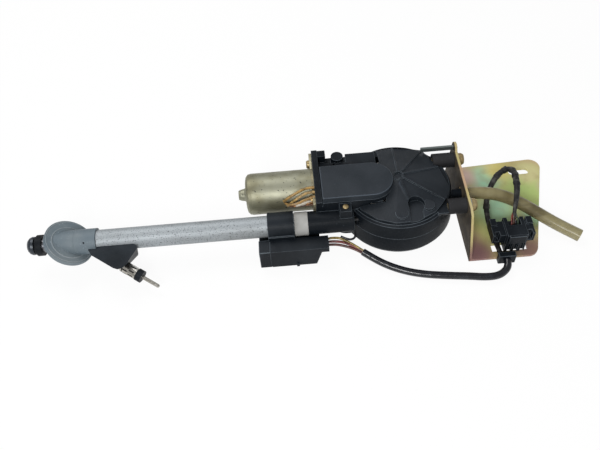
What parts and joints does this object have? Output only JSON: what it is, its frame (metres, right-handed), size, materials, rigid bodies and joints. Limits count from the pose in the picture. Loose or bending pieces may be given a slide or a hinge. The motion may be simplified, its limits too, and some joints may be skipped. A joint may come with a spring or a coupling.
{
  "type": "power aerial",
  "caption": "Motor-driven telescopic car aerial with slanted wing seat, gearbox, cord drum, relay box, foot bracket and leads.",
  "frame": {"origin": "on the underside of the foot plate, straight below the mast's axis, 395 mm from the mast's tip", "axes": "+X along the mast from its mouth to the foot, +Y towards the motor's side, +Z out of the foot plate towards the drum cover"},
  "size_m": [0.456, 0.1292, 0.05],
  "materials": {
    "black_moulding": "moulded, slightly worn",
    "grey_moulding": "moulded",
    "white_nylon": "moulded",
    "chromed_brass": "bright",
    "plated_steel": "satin",
    "black_nut": "black satin",
    "drawn_steel": "dull zinc",
    "zinc_yellow": "yellow passivated zinc",
    "bronze": "sintered",
    "copper": "turned",
    "ferrite": "ground",
    "circuit_board": "varnished",
    "black_rubber": "matt",
    "clear_vinyl": "clear amber vinyl",
    "wire_insulation": "vinyl"
  },
  "bodies": {
    "aerial_frame": {"mast_nut": "black_nut", "threaded_stub": "chromed_brass", "mounting_head": "grey_moulding", "guide_tube": "plated_steel", "mast_liner": "white_nylon", "tube_collar": "white_nylon", "plug_boot": "black_moulding", "plug_collar": "plated_steel", "plug_ferrule": "plated_steel", "plug_insulator": "white_nylon", "plug_pin": "plated_steel", "drum_base": "black_moulding", "gear_housing": "black_moulding", "gearbox_lid": "black_moulding", "drum_cover": "black_moulding", "drum_axle": "plated_steel", "wheel_axle": "plated_steel", "motor_can": "drawn_steel", "rear_bush": "bronze", "motor_plate": "zinc_yellow", "front_bush": "bronze", "motor_magnets": "ferrite", "brush_holder": "black_moulding", "motor_screws": "plated_steel", "housing_screw": "zinc_yellow", "foot_bracket": "zinc_yellow", "near_standoff": "black_rubber", "far_standoff": "black_rubber", "bolt_washers": "plated_steel", "bracket_bolts": "zinc_yellow", "stay_strip": "plated_steel", "relay_body": "black_moulding", "relay_cap": "black_moulding", "relay_board": "circuit_board", "relay_clamp": "black_moulding", "connector_body": "black_moulding", "connector_latch": "black_moulding", "connector_leg": "black_moulding", "cable_clip": "black_moulding", "drain_hose": "clear_vinyl", "supply_cable": "black_rubber", "harness_loop": "black_rubber", "relay_wires": "wire_insulation", "motor_leads": "wire_insulation"},
    "armature": {"armature_core": "drawn_steel", "commutator": "copper", "motor_shaft": "plated_steel", "worm": "plated_steel"},
    "wheel": {"worm_wheel": "white_nylon", "wheel_pinion": "white_nylon", "wheel_hub": "white_nylon"},
    "drum": {"cord_drum": "white_nylon", "drum_gear": "white_nylon", "cord_coil": "white_nylon"},
    "section_1": {"mast_section_1": "chromed_brass"},
    "section_2": {"mast_section_2": "chromed_brass"},
    "section_3": {"mast_section_3": "chromed_brass"},
    "mast_tip": {"mast_rod": "chromed_brass", "mast_tip_cap": "chromed_brass", "mast_cord": "white_nylon"}
  },
  "joints": [
    {"name": "motor_spin", "type": "hinge", "parent": "aerial_frame", "child": "armature", "pos_m": [-0.185, 0.0335, 0.028], "axis": [1, 0, 0], "range_deg": [0, 148000]},
    {"name": "wheel_turn", "type": "hinge", "parent": "aerial_frame", "child": "wheel", "pos_m": [-0.1313, 0.018, 0.028], "axis": [0, 0, 1], "range_deg": [0, 6350]},
    {"name": "drum_turn", "type": "hinge", "parent": "aerial_frame", "child": "drum", "pos_m": [-0.0875, 0.026, 0.023], "axis": [0, 0, 1], "range_deg": [-1725, 0]},
    {"name": "section_1_slide", "type": "slide", "parent": "aerial_frame", "child": "section_1", "axis": [-1, 0, 0], "range_m": [0, 0.196]},
    {"name": "section_2_slide", "type": "slide", "parent": "section_1", "child": "section_2", "axis": [-1, 0, 0], "range_m": [0, 0.196]},
    {"name": "section_3_slide", "type": "slide", "parent": "section_2", "child": "section_3", "axis": [-1, 0, 0], "range_m": [0, 0.196]},
    {"name": "tip_slide", "type": "slide", "parent": "section_3", "child": "mast_tip", "axis": [-1, 0, 0], "range_m": [0, 0.196]}
  ],
  "couplings": [
    {"joint": "wheel_turn", "follows": "motor_spin", "ratio": 0.041667},
    {"joint": "drum_turn", "follows": "motor_spin", "ratio": -0.01131},
    {"joint": "section_1_slide", "follows": "motor_spin", "m_per_rad": 0.000073512},
    {"joint": "section_2_slide", "follows": "motor_spin", "m_per_rad": 0.000073512},
    {"joint": "section_3_slide", "follows": "motor_spin", "m_per_rad": 0.000073512},
    {"joint": "tip_slide", "follows": "motor_spin", "m_per_rad": 0.000073512}
  ]
}
